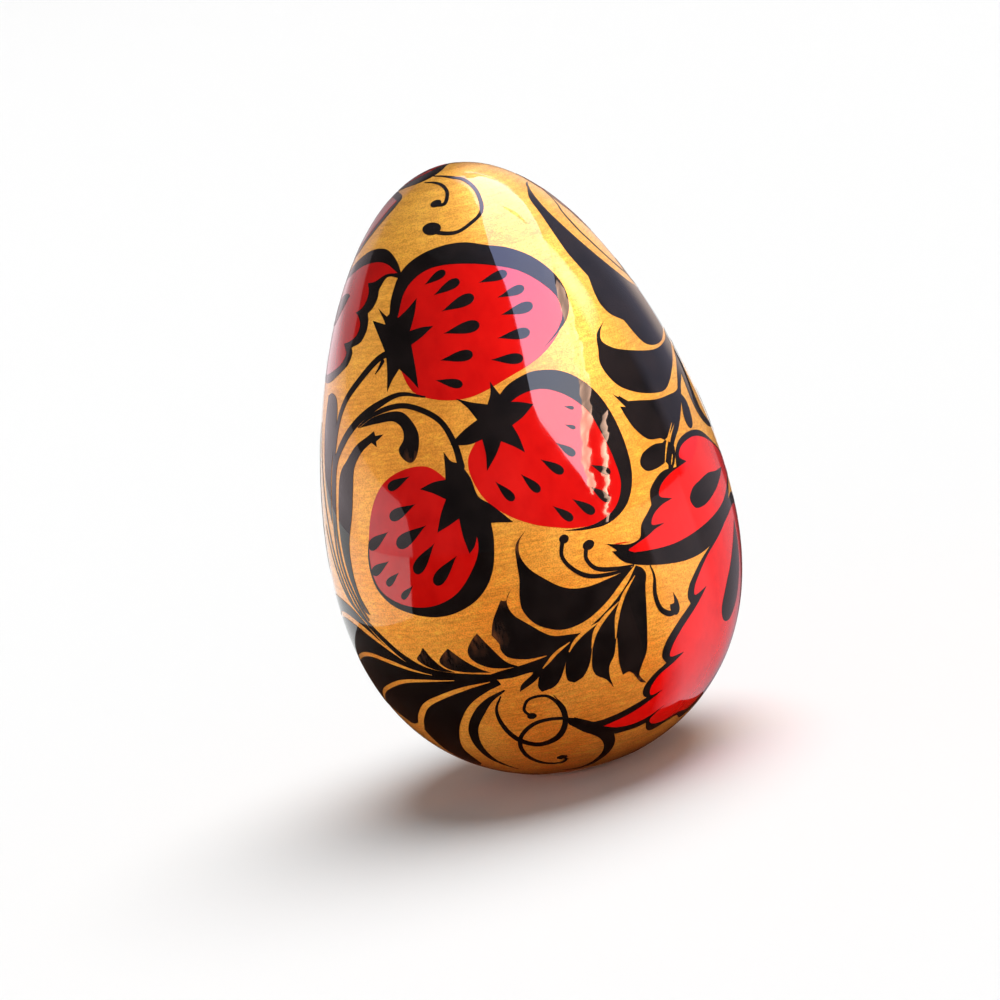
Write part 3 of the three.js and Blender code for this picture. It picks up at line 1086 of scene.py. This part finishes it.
def side_bud():
    """A bud on a stem, above the flower on the right."""
    upright_petal("bud_side", 95, 97.5, 85.5, 3.0)
    stem = black("stem_bud", 98)
    stem.stroke((0.3, 0.9, 0.9, 0.7), (103.6, 70), (100.8, 75), (97.6, 80), (95.4, 86))
    stem.shape((99, 77.6, C), (94.5, 80), (89, 80.6), (83, 78.6, C), (88, 76.8), (93.6, 76.2))
    stem.stroke((0.5, 0.6, 0.6, 0.4), (100, 76), (103.6, 79), (104.6, 82), (102, 84.4), (99.6, 83))
    stem.blob((99.8, 82.6), 0.75, 0.6, 40)


def back_stems():
    """Arching stems, tendrils and a leaf round the two berries on the back."""
    stems = black("stems_back", -155)
    stems.stroke(
        (0.5, 1.0, 1.0, 0.8, 0.3), (-131, 63), (-137, 67), (-147, 69.6), (-159, 69.4), (-170, 66.4),
        (-177, 61), (-179.6, 55), (-179, 50.4))
    stems.stroke(
        (0.5, 0.7, 0.7, 0.7, 0.5, 0.5), (-143, 69.2), (-148, 72.4), (-156, 74.8), (-165, 75),
        (-171.6, 72.6), (-171, 69.8), (-166, 69), (-163, 70.8))
    stems.blob((-163.4, 71.2), 0.8, 0.65, 60)
    stems.shape(
        (-178, 58.6, C), (-176.6, 62.4), (-178.6, 66.6), (-184, 70), (-190, 71.4, C), (-186, 67.4),
        (-183, 63.4), (-180.6, 60))
    side = black("leaves_back", -100)
    side.shape(
        (-101, 69.5, C), (-94, 68), (-88.5, 64), (-86, 58), (-87, 51), (-92, 45.5, C), (-90.2, 51.5),
        (-90.5, 57.5), (-92.5, 62.5), (-95.8, 66.6))
    side.stroke(
        (0.3, 0.9, 0.8, 0.6, 0.4, 0.5), (-92, 44.8), (-97, 41.6), (-104, 39.8), (-110.6, 40.6),
        (-113, 42.8), (-110.6, 44.2), (-108.4, 43.2))
    side.blob((-108.8, 42.8), 0.75, 0.62, 30)


again("_back", 208, -1, 0, petals)
upright_petal("petal_top", 104, 68.5, 47, 7.0)
upright_petal("petal_low", 104, 16.5, 41, 6.5)
flower_heart("flower_side", 104, 44.5, 4.4)
again("_back", -216, -1, 0, left_flower)
upright_petal("petal_top_back", -108, 99.5, 84, 3.6)
upright_petal("petal_low_back", -108, 64.5, 78, 5.0)
flower_heart("flower_back", -108, 81, 3.0)
again("_side", 140, -1, 3.5, first_berry)
again("_side", 208, -1, 0, right_leaves, right_hook)
again("_back", -126, 1, -5, second_berry, third_berry, berry_stems)
again("_back", -219, -1, -6, lower_left)
again("_back", 176, -1, 0, top_curls)
again("_left", -98, 1, 1.5, lower_curls)
tip_petal()
side_bud()
back_stems()

for motif in PAINTS:
    motif.build()

# ---------------------------------------------------------------- studio, in metres


def direction(azimuth, elevation):
    """Unit vector; azimuth 0 is -Y, towards the camera, and 90 is +X."""
    a, e = math.radians(azimuth), math.radians(elevation)
    return Vector((math.sin(a) * math.cos(e), -math.cos(a) * math.cos(e), math.sin(e)))


def stage_mesh(name, vertices, faces, material):
    made = add_object(name, vertices, faces, material, unit=1)
    made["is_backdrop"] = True
    return made


def reflected_only(made):
    made.visible_camera = False
    made.visible_shadow = False
    made.visible_diffuse = False


def plain_material(name, colour, roughness):
    n = Nodes(name)
    n.set(Base_Color=(*colour, 1), Roughness=roughness, Specular_IOR_Level=0)
    return n.material


def floor():
    """A round pale floor that runs far out and rises there, so that no edge shows."""
    steps = 96
    rings = (
        (0.3, 0), (1.0, 0), (3.0, 0), (5.0, 0.1), (8.0, 0.7), (12.0, 2.2), (16.0, 4.6), (20.0, 8.0))
    vertices = [(0, 0, -FLOOR_DROP)]
    for radius, height in rings:
        for k in range(steps):
            a = 2 * math.pi * k / steps
            vertices.append((radius * math.cos(a), radius * math.sin(a), height - FLOOR_DROP))
    faces = [(0, 1 + k, 1 + (k + 1) % steps) for k in range(steps)]
    for ring in range(len(rings) - 1):
        low = 1 + ring * steps
        for k in range(steps):
            n = (k + 1) % steps
            faces.append((low + k, low + steps + k, low + steps + n, low + n))
    return stage_mesh("floor", vertices, faces, plain_material("pale_floor", (0.86, 0.86, 0.86), 0.7))


def card(name, height, colour, *corners):
    """A flat dark card over the floor."""
    vertices = [(x, y, height) for x, y in corners]
    material = plain_material(name, colour, 0.9)
    reflected_only(stage_mesh(name, vertices, [tuple(range(len(corners)))], material))


def glow_material(name):
    """Light from the colours stored on the mesh."""
    n = Nodes(name)
    emission = n.node("ShaderNodeEmission")
    radiance = n.node("ShaderNodeAttribute", attribute_name="radiance").outputs["Color"]
    n.link(radiance, emission.inputs["Color"])
    n.link(emission.outputs["Emission"], n.tree.nodes["Material Output"].inputs["Surface"])
    return n.material


def glow_mesh(name, rows, place):
    """A row is (its place, (azimuth, radiance), ...), with the same number of points in each."""
    width = len(rows[0]) - 1
    vertices = [place(row[0], azimuth) for row in rows for azimuth, _ in row[1:]]
    colours = [(*radiance, 1) for row in rows for _, radiance in row[1:]]
    faces = []
    for first in range(0, len(vertices) - width, width):
        for k in range(first, first + width - 1):
            faces.append((k, k + 1, k + width + 1, k + width))
    made = stage_mesh(name, vertices, faces, glow_material(name))
    layer = made.data.attributes.new("radiance", "FLOAT_COLOR", "POINT")
    layer.data.foreach_set("color", np.array(colours, dtype=float).ravel())
    reflected_only(made)


def light_sheet(name, *rows, distance=SHEET_DISTANCE):
    """Light on a sphere round the egg, in rows of one elevation."""
    glow_mesh(name, rows, lambda elevation, azimuth: direction(azimuth, elevation) * distance)


def floor_glow(name, *rows):
    """Light just above the floor, in rows at one distance from the egg's axis."""
    lift = Vector((0, 0, GLOW_HEIGHT))
    glow_mesh(name, rows, lambda reach, azimuth: direction(azimuth, 0) * reach + lift)


# ---------------------------------------------------------------- the window and its curtain

# Edges as (elevation, azimuth), rising
WINDOW_LEFT = (
    (8, 36), (11, 34), (15, 29), (18, 26), (23, 20), (26, 19), (31, 21), (42, 27), (50, 31), (56, 31),
    (62, 35), (66, 43), (70, 52), (73, 68), (76, 90))
WINDOW_RIGHT = (
    (8, 37), (11, 36.5), (14, 38), (19, 44), (22, 50), (32, 61), (36, 67), (39, 75), (42, 100),
    (47, 145), (52, 156), (60, 156), (66, 150), (70, 141), (74, 115), (76, 92))
CURTAIN_HEM = ((6, 39), (12, 41.5), (15, 44), (21, 57), (30, 69), (36, 80), (39, 82))
CURTAIN_FOLD = ((0, 40.5), (6, 46), (11, 50), (15, 56), (18, 62))
CURTAIN_TOP = 39
RIM_FADE = 24  # how far the light fades out beside the window, above the curtain
WINDOW_TINTS = (
    (0, WINDOW_LOW), (24, WINDOW_LOW), (52, WINDOW_HIGH), (60, WINDOW_HIGH), (66, WINDOW_TOP),
    (90, WINDOW_TOP))

# The left window's right edge, as (elevation, azimuth, glow)
LEFT_EDGE = (
    (0, -70, 0.6), (3, -69, 0.9), (7, -70, 0.9), (9.5, -74, 0.85), (11, -88, 0.7), (12.5, -105, 0.6),
    (14, -118, 0.5), (16, -126, 0.42), (21, -122, 0.42), (25, -123, 0.4), (30, -131, 0.4),
    (36, -143, 0.3), (42, -158, 0.1))


def edge(points, elevation):
    return float(np.interp(elevation, *zip(*points)))


def crease(elevation, size):
    """The zigzag of creased cloth, in degrees."""
    wave = math.asin(math.sin(elevation * 1.31)) + 0.6 * math.asin(math.sin(elevation * 3.17 + 1.2))
    return size * wave


def window_end(elevation):
    """The window's right edge, creased as far up as the curtain goes."""
    return edge(WINDOW_RIGHT, elevation) + (crease(elevation, 0.5) if elevation < CURTAIN_TOP else 0)


def window_tint(elevation):
    return Vector([edge([(e, tint[k]) for e, tint in WINDOW_TINTS], elevation) for k in range(3)])


def window():
    """A bluish window, whiter towards its top and foot."""
    rows = []
    for elevation in np.arange(8.5, 76.1, 0.75):
        sky = window_tint(elevation)
        above = min(1.0, max(0.0, (elevation - CURTAIN_TOP) / 6))
        start, end = edge(WINDOW_LEFT, elevation), window_end(elevation)
        middle = 0.45 * start + 0.55 * end
        rim = sky.lerp(WINDOW_TOP, above)
        outside = end + 0.05 + RIM_FADE * above
        rows.append((elevation, (start, sky), (middle, sky), (end, rim), (outside, DARK)))
    light_sheet("window", *rows)


def window_side():
    """A bright soft patch at the window's right."""
    rows = []
    for elevation, glow in ((25, 0), (30, 0.8), (36, 1.0), (41, 0.8), (47, 0)):
        bright = WINDOW_SIDE * glow
        rows.append((elevation, (78, DARK), (86, bright), (93, bright), (102, DARK)))
    light_sheet("window_side", *rows)


def curtain():
    """The curtain's lit edge along the window's right."""
    rows = []
    for elevation in np.arange(6.5, CURTAIN_TOP, 0.5):
        inner = window_end(elevation)
        outer = max(inner + 1.0, edge(CURTAIN_HEM, elevation) + crease(elevation + 2, 1.0))
        bright = 0.75 + 0.3 * crease(elevation * 1.7, 0.6)
        rows.append((elevation, (inner, CURTAIN * bright), ((inner + outer) / 2, CURTAIN * 0.45),
                     (outer, CURTAIN * (1.5 - bright))))
    light_sheet("curtain", *rows)


def curtain_fold():
    """A second fold, lit along one side, that widens upwards."""
    rows = []
    for elevation in np.arange(0.0, 18.0, 0.5):
        middle = edge(CURTAIN_FOLD, elevation) + crease(elevation * 1.4, 0.9)
        width = 0.8 + 0.10 * elevation
        rows.append((elevation, (middle - width, CURTAIN * 0.35), (middle + width, CURTAIN * 1.2)))
    light_sheet("curtain_fold", *rows)


# ---------------------------------------------------------------- the rest of the room


def right_sky():
    """A pale glow at the right, warmer towards the back."""
    rows = []
    for elevation, glow in ((0, 0.8), (5, 1), (45, 1), (60, 0)):
        sky, far = SKY * glow, FAR_RIGHT * glow
        rows.append((elevation, (97, DARK), (106, sky * 0.9), (122, sky * 0.7), (138, sky * 0.8),
                     (150, far), (164, far), (178, DARK)))
    light_sheet("right_sky", *rows)


def right_hand():
    """The soft light off a hand low at the right."""
    glow = ((38, DARK), (60, HAND * 0.55), (95, HAND * 0.33), (120, HAND * 0.36), (145, HAND * 0.06),
            (160, DARK))
    floor_glow("right_hand", (0.02, *glow), (1.1, *glow))


def left_window():
    far, back = -178, -160
    rows = []
    for elevation, right, glow in LEFT_EDGE:
        light = LEFT * glow
        rows.append((elevation, (far, DARK), (back, light), ((right + back) / 2, light),
                     (right, light * 0.8)))
    light_sheet("left_window", *rows)


def dim_room():
    """The unlit room behind everything else."""
    around = [(azimuth, ROOM) for azimuth in range(-180, 181, 12)]
    rows = [(elevation, *around) for elevation in (-0.5, 20, 40, 60)]
    light_sheet("dim_room", *rows, distance=ROOM_DISTANCE)


def dark_cards():
    """The brown shade that the lower half reflects, in front and at the right."""
    near, left, right = (0.10, 0.01), (0.3, -0.62), (0.5, -1.1)
    card("floor_card", 0.001, (0.16, 0.07, 0.045), (-1.95, -0.62), (-0.8, -1.1), right, left, near,
         (0.02, 0.10), (-0.10, 0.06), (-0.115, -0.035))
    card("right_card", 0.0005, (0.18, 0.07, 0.05), near, left, right, (1.1, -0.5), (0.9, 0.5),
         (0.02, 0.10))


# ---------------------------------------------------------------- lights, world and camera


def add_light(name, kind, energy, *receivers):
    """A light that reaches only the receivers."""
    data = bpy.data.lights.new(name, kind)
    data.energy = energy
    made = bpy.data.objects.new(name, data)
    bpy.context.collection.objects.link(made)
    lit = bpy.data.collections.new(name + "_lights")
    for receiver in receivers:
        lit.objects.link(receiver)
    made.light_linking.receiver_collection = lit
    return made


def floor_light(ground):
    """Even light for the floor alone, so that it stays pale far out."""
    made = add_light("floor_light", "SUN", 3.1, ground)
    made.data.angle = math.radians(50)
    made.rotation_euler = (math.radians(-12), math.radians(14), 0)


def soft_light(name, azimuth, elevation, energy, colour, *lit, distance=1.0, size=0.6):
    """A wide soft light which isn't reflected, on the whole egg or on the pieces named."""
    made = add_light(name, "AREA", energy, *(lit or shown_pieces()))
    made.data.shape = "DISK"
    made.data.size = size
    made.data.color = colour
    towards = direction(azimuth, elevation)
    made.location = Vector((0, 0, 0.04)) + distance * towards
    made.rotation_euler = towards.to_track_quat("Z", "Y").to_euler()
    made.visible_camera = False
    made.visible_glossy = False


def lights():
    """Each at (azimuth, elevation), with its energy and colour."""
    soft_light("overhead", 59, 70, 4.2, (1.0, 1.0, 1.0), distance=1.6, size=1.4)
    soft_light("right_key", 68, 22, 14.5, (1.0, 0.98, 0.94))
    soft_light("low_fill", -10, 2, 1.6, (1.0, 0.86, 0.72), distance=0.8, size=0.5)
    soft_light("gold_fill", -35, 2, 5.5, (1.0, 0.88, 0.76), gold, distance=0.8, size=0.5)
    soft_light("gold_right", 78, 38, 15.0, (0.75, 1.0, 1.0), gold)
    soft_light("gold_left", -95, 16, 7.0, (0.95, 1.15, 1.1), gold)


def world():
    made = bpy.data.worlds.new("studio")
    bpy.context.scene.world = made
    made.use_nodes = True
    background = made.node_tree.nodes["Background"]
    background.inputs["Color"].default_value = (1.0, 0.99, 0.98, 1)
    background.inputs["Strength"].default_value = WORLD_STRENGTH


def camera():
    """Looks from slightly above, rolled so that the egg leans to the left."""
    tilt, roll = math.radians(CAMERA_TILT), math.radians(CAMERA_ROLL)
    forward = Vector((0, math.cos(tilt), -math.sin(tilt)))
    level_right = Vector((1, 0, 0))
    level_up = Vector((0, math.sin(tilt), math.cos(tilt)))
    right = math.cos(roll) * level_right - math.sin(roll) * level_up
    up = math.sin(roll) * level_right + math.cos(roll) * level_up
    middle = Vector((0, 0, (FULL_LENGTH - FOOT_CUT) / 2))
    target = middle + CAMERA_AIM[0] * right + CAMERA_AIM[1] * up
    place = (target - CAMERA_DISTANCE * forward) * MM
    data = bpy.data.cameras.new("camera")
    data.lens = CAMERA_LENS
    data.sensor_width = 36
    data.clip_start, data.clip_end = 0.01, 100
    made = bpy.data.objects.new("camera", data)
    bpy.context.collection.objects.link(made)
    turn = Matrix((right, up, -forward)).transposed().to_4x4()
    made.matrix_world = Matrix.Translation(place) @ turn
    bpy.context.scene.camera = made


floor_light(floor())
world()
camera()
window()
window_side()
curtain()
curtain_fold()
right_sky()
right_hand()
left_window()
lights()
dark_cards()
dim_room()
bpy.context.scene.view_settings.view_transform = "Standard"
